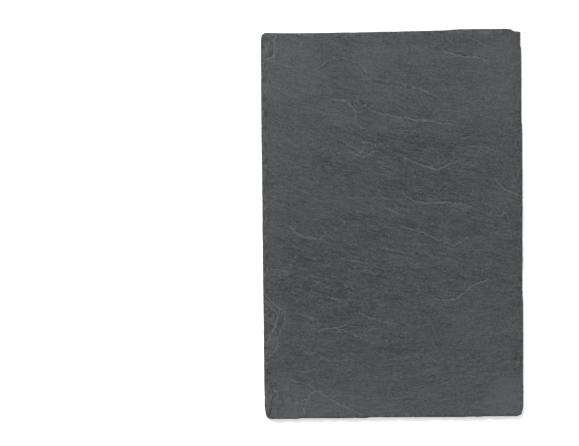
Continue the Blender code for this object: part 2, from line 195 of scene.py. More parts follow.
@dataclass
class Outline:
    """The slab's chipped outline: how far each side stands outside its nominal straight line."""

    width: float = 0.2024
    length: float = 0.3
    wander: float = 0.00022
    wander_cells: Point = (0.018, 0.005)
    nicks: float = 0.00022
    nick_cell: float = 0.0021
    reach: float = 0.003
    sides: dict[Edge, tuple[Point, ...]] = field(
        default_factory=lambda: {
            Edge.FAR: (
                (-0.1012, -0.0009), (-0.0985, 0.0006), (-0.078, 0.0001), (-0.047, 0.0002), (0.0075, 0.0006),
                (0.043, 0.0012), (0.055, 0.002), (0.09, 0.002), (0.094, 0.0013), (0.096, -0.0001),
                (0.1012, -0.0005),
            ),
            Edge.NEAR: (
                (-0.1012, -0.002), (-0.0978, -0.0002), (-0.075, 0.0001), (-0.0717, -0.0005),
                (-0.022, -0.0001), (-0.019, -0.0006), (0.0526, -0.0001), (0.062, -0.0004), (0.064, 0.0),
                (0.07, -0.0005), (0.096, -0.0003), (0.0984, -0.0011), (0.1012, -0.002),
            ),
            Edge.LEFT: (
                (-0.15, -0.002), (-0.1476, -0.0013), (-0.14, -0.0002), (-0.018, 0.0), (0.11, 0.0),
                (0.145, -0.0003), (0.1485, -0.0008), (0.15, -0.0015),
            ),
            Edge.RIGHT: (
                (-0.15, -0.0024), (-0.1475, -0.002), (-0.143, -0.0009), (-0.0907, -0.0003), (-0.06, -0.0001),
                (-0.057, -0.0006), (0.018, 0.0002), (0.077, 0.0006), (0.08, 0.0001), (0.137, 0.0004),
                (0.1385, -0.0002), (0.15, -0.0001),
            ),
        }
    )
    seeds: dict[Edge, int] = field(
        default_factory=lambda: {Edge.RIGHT: 31, Edge.LEFT: 33, Edge.FAR: 35, Edge.NEAR: 37}
    )

    def offset(self, edge: Edge, place: Array) -> Array:
        """How far an edge stands out: straight pieces through its table, plus noise, less the nicks.

        The nicks are the absolute value of a fine noise, so they only ever take stone away.

        Args:
            edge: The side.
            place: Places along it.

        Returns:
            Distances outside the nominal line.
        """
        places, offsets = zip(*self.sides[edge])
        seed = self.seeds[edge]
        middle = np.full_like(place, 0.3)
        broad, fine = (place / cell for cell in self.wander_cells)
        wander = noise(broad, middle, seed) + 0.5 * noise(fine, middle, seed + 1)
        nicks = np.abs(noise(place / self.nick_cell, middle, seed + 60))
        return np.interp(place, places, offsets) + self.wander * wander - self.nicks * nicks

    def shift(self, x: Array, y: Array, inset: Array) -> tuple[Array, Array]:
        """How far the outline moves each point: each side's offset less the inset, times that side's pull.

        The pull is e to the minus distance inside the side over the reach.

        Args:
            x: Across the nominal slab.
            y: Along it.
            inset: How far the stone stands in from the outline at each point.

        Returns:
            The moves in x and y.
        """
        shift_x, shift_y = np.zeros_like(x), np.zeros_like(y)
        for edge in self.seeds:
            out_x, out_y = edge.value
            half = (self.width if out_x else self.length) / 2
            pull = np.exp((out_x * x + out_y * y - half) / self.reach)
            out = pull * (self.offset(edge, y if out_x else x) - inset)
            shift_x += out_x * out
            shift_y += out_y * out
        return shift_x, shift_y


@dataclass
class Chips:
    """The scars along the rims of one face, over the dressed bevel of one of them."""

    outline: Outline
    rows: tuple[ChipRow, ...]
    bevel: float = 0.0
    bevel_reach: float = 0.0034
    radii: Point = (0.003, 0.017)
    leaf: float = 0.0005
    stepping: float = 0.65
    steepness: float = 2.0

    def bowls(self, x: Array, y: Array) -> Array:
        """Depth of the scars before they step: the deepest of the bevel and of many bowls.

        The bevel falls evenly from its wavering inner line to the left rim. A bowl is (1 - r squared) over
        its value at the rim, with r the distance from a centre outside the slab over the bowl's radius.

        Args:
            x: Across the nominal slab.
            y: Along it.

        Returns:
            Depths below the face, 0 where there is no scar.
        """
        inside = x + self.outline.width / 2
        waver = noise(y / 0.013, inside / 0.02, 44) + 0.5 * noise(y / 0.0042, inside / 0.006, 45)
        depth = self.bevel * np.clip(1.0 + 0.55 * waver - inside / self.bevel_reach, 0.0, 1.0)
        for row in self.rows:
            random = np.random.default_rng(row.seed)
            out_x, out_y = row.edge.value
            across = out_x == 0.0
            run = (self.outline.width if across else self.outline.length) / 2
            half = (self.outline.length if across else self.outline.width) / 2
            for place in np.linspace(-run, run, row.count):
                place += random.uniform(-0.5, 0.5) * 2.0 * run / row.count
                radius = self.radii[0] * (self.radii[1] / self.radii[0]) ** random.uniform()
                reach = random.uniform(row.least_reach, row.most_reach)
                out = half + radius - reach
                middle_x = place if across else out_x * out
                middle_y = out_y * out if across else place
                from_middle = np.hypot(x - middle_x, y - middle_y) / radius
                bowl = (1.0 - from_middle**2) / (1.0 - (1.0 - reach / radius) ** 2)
                depth = np.maximum(depth, row.depth * random.uniform(0.45, 1.0) * bowl)
        return depth

    def depth(self, x: Array, y: Array) -> Array:
        """Depth of the scars: partly smooth, and for the rest stepped by the slate's leaves."""
        depth = self.bowls(x, y)
        leaves = self.leaf * stepped(depth / self.leaf, self.steepness)
        return (1.0 - self.stepping) * depth + self.stepping * leaves


@dataclass
class Grain:
    """The grain of the riven face: which way its ripples run, and how they rise and fall."""

    fall: float = 0.23
    rise: float = 0.06
    levelling: float = 0.16
    waver: float = 0.0021
    terrace: float = 0.0001
    wave: float = 0.00009
    wavelet: float = 0.00006

    def flow(self, x: Array, y: Array) -> tuple[Array, Array]:
        """Places along and across the grain.

        Across is y plus x times the fall, which fades out in the near part, turns into a rise at the near
        right and levels out at the far right, plus a wavering noise. Along is x with its own wavering.

        Args:
            x: Across the slab.
            y: Along it.

        Returns:
            Places along the grain and across it.
        """
        fall = self.fall * ease((y + 0.12) / 0.13)
        rise = self.rise * ease((-0.02 - y) / 0.11) * ease((x - 0.01) / 0.09)
        levelling = self.levelling * ease((x - 0.03) / 0.05) * ease((y - 0.02) / 0.07)
        waver = noise(x / 0.017, y / 0.012, 70) + 0.45 * noise(x / 0.0065, y / 0.005, 71)
        swirl = ease((x - 0.04) / 0.04) * ease((y - 0.075) / 0.04)
        waver += 1.4 * swirl * noise(x / 0.0085, y / 0.0085, 77)
        across = y + fall * x - rise * (x - 0.01) - levelling * (x - 0.03) + self.waver * waver
        return x + 0.0012 * noise(x / 0.009, y / 0.006, 78), across

    def ripples(self, x: Array, y: Array, rough: Array) -> Array:
        """Height of the ripples: low terraces, and waves of two sizes drawn out along the grain.

        Args:
            x: Across the slab.
            y: Along it.
            rough: Strength of the waves at each place, 1 on average.

        Returns:
            Heights, above and below 0.
        """
        along, across = self.flow(x, y)
        terraces = 2.6 * noise(along / 0.03, across / 0.011, 72) + noise(along / 0.012, across / 0.004, 73)
        waves = self.wave * noise(along / 0.014, across / 0.0042, 74)
        waves += self.wavelet * noise(along / 0.007, across / 0.0024, 75)
        return self.terrace * stepped(terraces, 3.0) + waves * rough


@dataclass
class RivenFace:
    """The upper face, split along a leaf of the slate."""

    outline: Outline
    grain: Grain
    thickness: float = 0.005
    swell: float = 0.00035
    riser_width: float = 0.0008
    lip_reach: float = 0.0024
    raised_fade: float = 0.016
    sunk_fade: float = 0.012
    raggedness: float = 0.001
    strewn: int = 58
    ledge_share: float = 0.8
    strewn_share: float = 0.45
    strewn_lip: float = 0.7
    ledges: tuple[Ledge, ...] = (
        Ledge(((0.007, 0.053), (0.02, 0.048), (0.034, 0.043), (0.043, 0.047), (0.054, 0.05)), 0.00055, 0.4),
        Ledge(((0.006, 0.027), (0.016, 0.02), (0.032, 0.017), (0.049, 0.017), (0.064, 0.013)), 0.0005),
        Ledge(((0.077, 0.037), (0.089, 0.027), (0.102, 0.021)), 0.00045),
        Ledge(
            ((0.06, -0.01), (0.049, -0.016), (0.035, -0.012), (0.02, -0.005), (0.003, -0.001)), 0.00045, 0.6
        ),
        Ledge(((0.04, 0.135), (0.05, 0.132), (0.063, 0.13), (0.074, 0.128)), 0.00045, 0.8),
        Ledge(
            ((-0.049, 0.098), (-0.039, 0.098), (-0.031, 0.093), (-0.027, 0.087), (-0.027, 0.08)),
            0.00055, 0.8,
        ),
        Ledge(((-0.03, 0.098), (-0.02, 0.093), (-0.01, 0.087), (0.025, 0.081), (0.054, 0.077)), 0.00045),
        Ledge(
            ((0.038, 0.097), (0.027, 0.104), (0.014, 0.108), (-0.008, 0.112), (-0.027, 0.114)),
            0.00045, 0.7,
        ),
        Ledge(((-0.019, 0.117), (-0.026, 0.126), (-0.044, 0.13), (-0.061, 0.119)), 0.0005, 0.2),
        Ledge(
            ((-0.081, 0.002), (-0.073, -0.006), (-0.063, -0.009), (-0.056, -0.009), (-0.05, -0.003)),
            0.0006, 0.3,
        ),
        Ledge(((0.03, -0.056), (0.043, -0.059), (0.052, -0.055), (0.061, -0.048), (0.074, -0.043)), 0.00055),
        Ledge(
            ((-0.07, -0.15), (-0.069, -0.136), (-0.06, -0.128), (-0.044, -0.138), (-0.022, -0.148)),
            0.0007, 0.8,
        ),
        Ledge(((-0.06, -0.084), (-0.056, -0.08), (-0.043, -0.079), (-0.034, -0.075)), 0.0004, 0.6),
        Ledge(((-0.029, -0.066), (-0.015, -0.073), (0.006, -0.078)), 0.00045),
        Ledge(
            ((-0.101, -0.104), (-0.092, -0.096), (-0.09, -0.086), (-0.085, -0.075), (-0.085, -0.067),
             (-0.093, -0.061), (-0.101, -0.051)),
            0.00065,
            0.0,
        ),
        Ledge(
            ((-0.101, -0.093), (-0.096, -0.085), (-0.092, -0.076), (-0.091, -0.069), (-0.095, -0.064),
             (-0.102, -0.057)),
            0.0006,
            0.0,
        ),
        Ledge(
            ((-0.103, 0.131), (-0.093, 0.131), (-0.0905, 0.138), (-0.09, 0.146), (-0.088, 0.152)),
            0.00075, 0.0,
        ),
        Ledge(
            ((-0.033, 0.059), (-0.028, 0.055), (-0.021, 0.053), (-0.015, 0.057), (-0.009, 0.058)),
            0.0004, 0.4,
        ),
        Ledge(((0.079, 0.012), (0.083, 0.006), (0.088, 0.009), (0.092, 0.003)), 0.00035),
    )
    crack: tuple[Point, ...] = ((-0.0913, -0.1285), (-0.095, -0.135), (-0.096, -0.142), (-0.0988, -0.149))
    crack_width: float = 0.0009
    crack_depth: float = 0.0004
    crack_reach: float = 0.0024
    patches: tuple[Spot, ...] = (
        Spot((0.0, 0.155), (0.18, 0.058), 0.36),
        Spot((0.0, -0.155), (0.18, 0.048), 0.32),
        Spot((-0.084, 0.122), (0.029, 0.034), 0.75),
        Spot((-0.016, 0.13), (0.015, 0.016), 0.5),
        Spot((0.026, 0.135), (0.02, 0.009), 0.4),
        Spot((0.084, 0.116), (0.018, 0.03), 0.5),
        Spot((-0.008, 0.107), (0.028, 0.007), 0.36),
        Spot((-0.042, 0.089), (0.015, 0.009), 0.45),
        Spot((0.06, 0.09), (0.024, 0.014), 0.38),
        Spot((0.052, 0.143), (0.022, 0.006), -0.3),
        Spot((0.018, 0.118), (0.018, 0.007), -0.3),
        Spot((-0.078, 0.066), (0.026, 0.02), 0.35),
        Spot((-0.042, 0.046), (0.016, 0.019), -0.38),
        Spot((-0.06, 0.01), (0.012, 0.008), 0.35),
        Spot((0.026, 0.06), (0.036, 0.011), -0.45),
        Spot((0.025, 0.033), (0.036, 0.015), -0.42),
        Spot((0.035, 0.001), (0.045, 0.012), -0.25),
        Spot((-0.01, -0.03), (0.11, 0.04), -0.28),
        Spot((-0.034, -0.008), (0.02, 0.008), 0.35),
        Spot((-0.068, -0.05), (0.022, 0.012), -0.2),
        Spot((-0.036, -0.072), (0.02, 0.012), -0.35),
        Spot((-0.094, 0.02), (0.01, 0.13), 0.4),
        Spot((-0.09, -0.08), (0.012, 0.02), 0.45),
        Spot((-0.052, -0.136), (0.028, 0.015), 0.5),
        Spot((-0.01, -0.149), (0.12, 0.013), 0.5),
        Spot((-0.084, -0.134), (0.016, 0.014), 0.95),
        Spot((0.09, -0.137), (0.02, 0.018), 0.95),
        Spot((0.068, -0.079), (0.034, 0.018), 0.32),
        Spot((0.0, -0.088), (0.016, 0.01), -0.32),
        Spot((0.102, 0.0), (0.014, 0.14), 0.16),
    )
    scars: tuple[Spot, ...] = (
        Spot((-0.096, -0.074), (0.0085, 0.017), 1.0),
        Spot((-0.0955, 0.137), (0.006, 0.012), 0.8),
        Spot((-0.095, -0.13), (0.006, 0.01), 1.0),
        Spot((-0.084, -0.136), (0.015, 0.013), 0.6),
    )
    scar_leaves: float = 5.0
    rim_share: float = 0.42
    rim_reach: float = 0.0038

    def chips(self) -> Chips:
        """The scars along this face's rims."""
        return Chips(
            self.outline,
            (
                ChipRow(Edge.LEFT, 11, 20, 0.002, 0.0048, 0.0026),
                ChipRow(Edge.RIGHT, 12, 16, 0.0004, 0.0014, 0.0013),
                ChipRow(Edge.FAR, 13, 15, 0.0006, 0.003, 0.002),
                ChipRow(Edge.NEAR, 14, 14, 0.0004, 0.0018, 0.0015),
            ),
            bevel=0.0022,
        )

    def strewn_ledges(self, seed: int = 9) -> list[Ledge]:
        """Small ledges anywhere on the face: gently bowed lines, most of them along the grain.

        Args:
            seed: Seed of their places and sizes.

        Returns:
            The ledges.
        """
        random = np.random.default_rng(seed)
        found = []
        for _ in range(self.strewn):
            middle = random.uniform(-0.5, 0.5, 2) * (self.outline.width, self.outline.length)
            half = random.uniform(0.006, 0.021)
            turn = random.normal(-math.radians(13.0), math.radians(12.0))
            share = np.linspace(-1.0, 1.0, 5) * random.choice((-1.0, 1.0), p=(0.35, 0.65))
            along = half * share
            across = half * (random.uniform(-0.3, 0.3) * (1.0 - share**2) + random.normal(0.0, 0.05, 5))
            x = middle[0] + along * np.cos(turn) - across * np.sin(turn)
            y = middle[1] + along * np.sin(turn) + across * np.cos(turn)
            found.append(Ledge(tuple(zip(x, y)), random.uniform(0.00018, 0.00038), random.uniform(0.2, 0.8)))
        return found

    def ledge_height(self, x: Array, y: Array, ledges: Iterable[Ledge], seed: int) -> Lips:
        """Height added by ledges, how strongly their lips show, and how far they are.

        A ledge is an eased riser on its line, with ground that fades on both sides as e to the minus distance
        over the fade. It grows from nothing at its ends, and noise makes its line ragged and lets it come and
        go. A lip is strongest near the line and eases to 0 at its reach.

        Args:
            x: Across the slab.
            y: Along it.
            ledges: The ledges.
            seed: Seed of the noise that makes the lines ragged.

        Returns:
            Heights, above and below 0, lips from 0 to 1, and the signed distance to the strongest lip, in its
            reach and above 0 on the high side.
        """
        cells = ((0.004, self.raggedness), (0.012, 1.2 * self.raggedness), (0.0016, 0.45 * self.raggedness))
        ragged_x, ragged_y = x.copy(), y.copy()
        for turn, (cell, size) in enumerate(cells):
            ragged_x += size * noise(x / cell, y / cell, seed + 10 * turn)
            ragged_y += size * noise(x / cell, y / cell, seed + 10 * turn + 1)
        coming = np.clip(0.9 + 0.8 * noise(x / 0.0075, y / 0.0075, seed + 50), 0.45, 1.2)
        height, lip, gap = np.zeros_like(x), np.zeros_like(x), np.ones_like(x)
        for ledge in ledges:
            line = smooth_line(ledge.line)
            low, high = line.min(axis=0) - 5.0 * self.raised_fade, line.max(axis=0) + 5.0 * self.raised_fade
            near = (x > low[0]) & (x < high[0]) & (y > low[1]) & (y < high[1])
            side, along = distance_to_line(ragged_x[near], ragged_y[near], line)
            sunk = ledge.raised - 1.0
            above, below = np.exp(-side / self.raised_fade), np.exp(side / self.sunk_fade)
            ground = np.where(side > 0.0, ledge.raised * above, sunk * below)
            on_riser = np.abs(side) < self.riser_width / 2.0
            profile = np.where(on_riser, sunk + ease(side / self.riser_width + 0.5), ground)
            to_end = np.minimum(along, 1.0 - along)
            size = ledge.riser * coming[near]
            height[near] += size * ease(3.0 * to_end) * profile
            found = ease(3.0 * (1.0 - np.abs(side) / self.lip_reach)) * ease(12.0 * to_end + 0.1)
            found *= np.clip(0.35 + 0.65 * size / 0.0004, 0.0, 1.0)
            gap[near] = np.where(found > lip[near], np.clip(side / self.lip_reach, -1.0, 1.0), gap[near])
            lip[near] = np.maximum(lip[near], found)
        return height, lip, gap

    def roughness(self, x: Array, y: Array) -> Array:
        """Strength of the ripples: less on light patches and at the right, and by a broad noise.

        Args:
            x: Across the slab.
            y: Along it.

        Returns:
            Strengths, 1 on average.
        """
        patchy = noise(x / 0.028 + 7.0, y / 0.02, 76)
        calm = 0.44 * self.tone(x, y) + 0.12 * ease((x - 0.035) / 0.05)
        return np.clip(1.0 - calm + 0.42 * patchy, 0.3, 1.4)

    def height(self, x: Array, y: Array) -> Array:
        """Height above the bed: thickness, swells, ledges and ripples, less the chips and the crack.

        Args:
            x: Across the slab.
            y: Along it.

        Returns:
            The heights.
        """
        start = x + 0.36
        swell = noise(start / 0.11, y / 0.08, 1) + 0.5 * noise(start / 0.04, y / 0.03, 2)
        height = self.thickness + self.swell * swell + self.grain.ripples(x, y, self.roughness(x, y))
        height += self.ledge_share * self.ledge_height(x, y, self.ledges, 5)[0]
        height += self.strewn_share * self.ledge_height(x, y, self.strewn_ledges(), 7)[0]
        return height - self.chips().depth(x, y) - self.crack_groove(x, y)

    def lips(self, x: Array, y: Array) -> tuple[Array, Array]:
        """The stronger of the two kinds of lips at each point.

        Args:
            x: Across the slab.
            y: Along it.

        Returns:
            Strengths from 0 to 1, and the signed distance to the lip in its reach.
        """
        _, lip, gap = self.ledge_height(x, y, self.ledges, 5)
        _, low_lip, low_gap = self.ledge_height(x, y, self.strewn_ledges(), 7)
        low_lip *= self.strewn_lip
        return np.maximum(lip, low_lip), np.where(lip > low_lip, gap, low_gap)

    def crack_groove(self, x: Array, y: Array) -> Array:
        """Depth of the crack: eased from its middle line to half its width, and shallow at its inner end."""
        side, along = distance_to_line(x, y, smooth_line(self.crack))
        return self.crack_depth * ease(1.0 - np.abs(side) / self.crack_width) * ease(6.0 * along)

    def crack_line(self, x: Array, y: Array) -> Array:
        """How near each point is to the crack, where the finish paints shadow: 1 on its line, falling evenly
        to 0 at its reach.
        """
        side, _ = distance_to_line(x, y, smooth_line(self.crack))
        return np.clip(1.0 - np.abs(side) / self.crack_reach, 0.0, 1.0)

    def dressed(self, x: Array, y: Array) -> Array:
        """Where the dressing tool has crushed the face: along the rims, and at scars beside the left one.

        From a rim it falls as e to the minus squared distance over the reach, which wavers at the left rim.
        The other rims are less crushed, by rim_share.

        Args:
            x: Across the nominal slab.
            y: Along it.

        Returns:
            Strengths, 0 to 1.
        """
        inside = x + self.outline.width / 2
        reach = 0.0042 * (1.0 + 0.9 * noise(y / 0.013, inside / 0.02, 44))
        others = np.minimum(self.outline.length / 2 - np.abs(y), 0.5 * (self.outline.width - inside))
        others = self.rim_share * np.exp(-((others / self.rim_reach) ** 2))
        return np.maximum(np.maximum(np.exp(-((inside / reach) ** 2)), others), self.scarred(x, y))

    def scarred(self, x: Array, y: Array) -> Array:
        """The scars beside the rim: the strongest one, each e to the minus squared distance in radii.

        Args:
            x: Across the slab.
            y: Along it.

        Returns:
            Strengths, 0 to 1.
        """
        found = np.zeros_like(x)
        for scar in self.scars:
            away_x, away_y = scar.away(x, y)
            found = np.maximum(found, scar.strength * np.exp(-(away_x**2 + away_y**2)))
        return found

    def tone(self, x: Array, y: Array) -> Array:
        """Lightness of the face: the sum of the patches, each e to the minus fourth power of r in its radii.

        Args:
            x: Across the slab.
            y: Along it.

        Returns:
            Tones, above 0 where the face is lighter.
        """
        bent_x = x + 0.01 * noise(x / 0.025, y / 0.02, 80) + 0.004 * noise(x / 0.008, y / 0.006, 82)
        bent_y = y + 0.008 * noise(x / 0.025, y / 0.02, 81) + 0.003 * noise(x / 0.008, y / 0.006, 83)
        tone = np.zeros_like(x)
        for patch in self.patches:
            away_x, away_y = patch.away(bent_x, bent_y)
            tone += patch.strength * np.exp(-((away_x**2 + away_y**2) ** 2))
        return tone


@dataclass
class Underside:
    """The bed face: flat, with flakes and chips gone."""

    outline: Outline
    flakes: tuple[Spot, ...] = (
        Spot((-0.006, 0.16), (0.05, 0.052), 0.0005),
        Spot((0.112, 0.01), (0.05, 0.056), 0.0005),
        Spot((-0.108, -0.062), (0.066, 0.05), 0.001),
        Spot((0.04, -0.16), (0.05, 0.05), 0.0005),
        Spot((-0.11, 0.086), (0.036, 0.024), 0.0005),
    )
    raggedness: float = 0.12
    first_seed: int = 50
    spare: float = 0.0004
    grain_depth: float = 0.00009

    def chips(self) -> Chips:
        """The scars along this face's rims."""
        return Chips(
            self.outline,
            (
                ChipRow(Edge.LEFT, 21, 14, 0.0006, 0.0022, 0.0012),
                ChipRow(Edge.RIGHT, 22, 20, 0.0016, 0.0042, 0.0018),
                ChipRow(Edge.FAR, 23, 13, 0.0012, 0.0036, 0.0016),
                ChipRow(Edge.NEAR, 24, 14, 0.0014, 0.004, 0.0018),
            ),
        )

    def flake_depth(self, x: Array, y: Array) -> Lips:
        """Depth of the flakes, and their lips: ragged ovals, whose radius is 1 plus noise of the bearing.

        Args:
            x: Across the slab.
            y: Along it.

        Returns:
            Depths, lips that ease from 1 at the ovals' rims to 0 at their reach, and the signed distance to
            the rim, in that reach and above 0 outside.
        """
        depth, lip, gap = np.zeros_like(x), np.zeros_like(x), np.ones_like(x)
        for seed, flake in enumerate(self.flakes, start=self.first_seed):
            off_x, off_y = flake.away(x, y)
            away = np.maximum(np.hypot(off_x, off_y), 1e-6)
            round_x, round_y = off_x / away, off_y / away
            broad = noise(1.6 * round_x, 1.6 * round_y, seed)
            fine = noise(5.0 * round_x, 5.0 * round_y, seed)
            radius = 1.0 + self.raggedness * (broad + 0.5 * fine)
            depth = np.maximum(depth, flake.strength * ease((radius - away) / 0.02))
            side = np.clip((away - radius) * flake.radii[0] / RivenFace.lip_reach, -1.0, 1.0)
            found = ease(3.0 * (1.0 - np.abs(side)))
            gap = np.where(found > lip, side, gap)
            lip = np.maximum(lip, found)
        return depth, lip, gap

    def height(self, x: Array, y: Array) -> Array:
        """Height above the bed: the deeper of chips and flakes, plus a faint grain, and 0 elsewhere.

        Args:
            x: Across the slab.
            y: Along it.

        Returns:
            The heights.
        """
        chips = np.maximum(self.chips().depth(x, y) - self.spare, 0.0)
        grain = noise(x / 0.012, (y + 0.2 * x) / 0.004, 90) + noise(x / 0.03, y / 0.02, 91)
        return np.maximum(chips, self.flake_depth(x, y)[0]) + self.grain_depth * np.maximum(grain, 0.0)


# Shader building


class Signal:
    """A socket of a shader, or a number, that takes part in sums and products."""

    def __init__(self, bench: "Bench", socket: Any) -> None:
        """Wrap one output socket of the bench's tree."""
        self.bench = bench
        self.socket = socket

    def combine(self, operation: str, first: Any, second: Any, clamp: bool = False) -> "Signal":
        """Join two values with one Math node.

        Args:
            operation: The node's operation.
            first: A signal or a number.
            second: A signal or a number.
            clamp: Whether the result is held between 0 and 1.

        Returns:
            The node's result.
        """
        settings = {"operation": operation, "use_clamp": clamp}
        return self.bench.node("ShaderNodeMath", settings, {0: first, 1: second})

    def __add__(self, other: Any) -> "Signal":
        """Sum."""
        return self.combine("ADD", self, other)

    __radd__ = __add__

    def __sub__(self, other: Any) -> "Signal":
        """Difference."""
        return self.combine("SUBTRACT", self, other)

    def __rsub__(self, other: Any) -> "Signal":
        """Difference, with a number first."""
        return self.combine("SUBTRACT", other, self)

    def __mul__(self, other: Any) -> "Signal":
        """Product."""
        return self.combine("MULTIPLY", self, other)

    __rmul__ = __mul__

    def held(self) -> "Signal":
        """The value held between 0 and 1."""
        return self.combine("ADD", self, 0.0, clamp=True)

    def size(self) -> "Signal":
        """The value without its sign."""
        return self.combine("ABSOLUTE", self, 0.0)

    def part(self) -> "Signal":
        """What the value has beyond its whole part."""
        return self.combine("FRACT", self, 0.0)


class Bench:
    """One material's node tree, and the methods that add to it."""

    def __init__(self, name: str) -> None:
        """Start a material with a Principled shader, under the given name."""
        self.material = bpy.data.materials.new(name)
        self.material.use_nodes = True
        self.tree = self.material.node_tree
        self.shader = self.tree.nodes["Principled BSDF"]

    def node(self, kind: str, settings: dict[str, Any], values: dict[Any, Any], output: Any = 0) -> Signal:
        """Add a node, set it, then fill its sockets.

        Args:
            kind: The node's type.
            settings: Its properties, set first.
            values: What its sockets hold, by name or number: a signal to link, or a value.
            output: The output to hand back, by name or number.

        Returns:
            The chosen output.
        """
        made = self.tree.nodes.new(kind)
        for name, value in settings.items():
            setattr(made, name, value)
        for socket, value in values.items():
            if isinstance(value, Signal):
                self.tree.links.new(value.socket, made.inputs[socket])
            else:
                made.inputs[socket].default_value = value
        return Signal(self, made.outputs[output])

    def attribute(self, name: str, output: str = "Fac") -> Signal:
        """A value kept on the mesh's points."""
        return self.node("ShaderNodeAttribute", {"attribute_name": name}, {}, output)

    def scaled(self, vector: Signal, scale: Triple) -> Signal:
        """A vector with each part times its scale."""
        return self.node("ShaderNodeVectorMath", {"operation": "MULTIPLY"}, {0: vector, 1: scale})

    def noise(self, vector: Signal, scale: Triple, detail: float = 2.0, rough: float = 0.5) -> Signal:
        """Noise of about 0 to 1 on a scaled vector.

        Args:
            vector: The place.
            scale: Cells per metre, in each direction.
            detail: Octaves added to the first.
            rough: Weight of each octave against the one before.

        Returns:
            The noise's value.
        """
        values = {"Vector": self.scaled(vector, scale), "Scale": 1.0, "Detail": detail, "Roughness": rough}
        return self.node("ShaderNodeTexNoise", {"noise_dimensions": "3D"}, values)

    def ramp(self, value: Signal, low: float, high: float) -> Signal:
        """A smooth step of the value between low and high."""
        settings = {"interpolation_type": "SMOOTHSTEP", "clamp": True}
        return self.node("ShaderNodeMapRange", settings, {"Value": value, "From Min": low, "From Max": high})

    def mix(self, share: Any, first: Any, second: Any) -> Signal:
        """A colour between two colours."""
        settings = {"data_type": "RGBA", "blend_type": "MIX", "clamp_factor": True}
        return self.node("ShaderNodeMix", settings, {0: share, 6: first, 7: second}, 2)

    def feed(self, socket: str, value: Signal) -> None:
        """Link a signal to one of the shader's own sockets."""
        self.tree.links.new(value.socket, self.shader.inputs[socket])


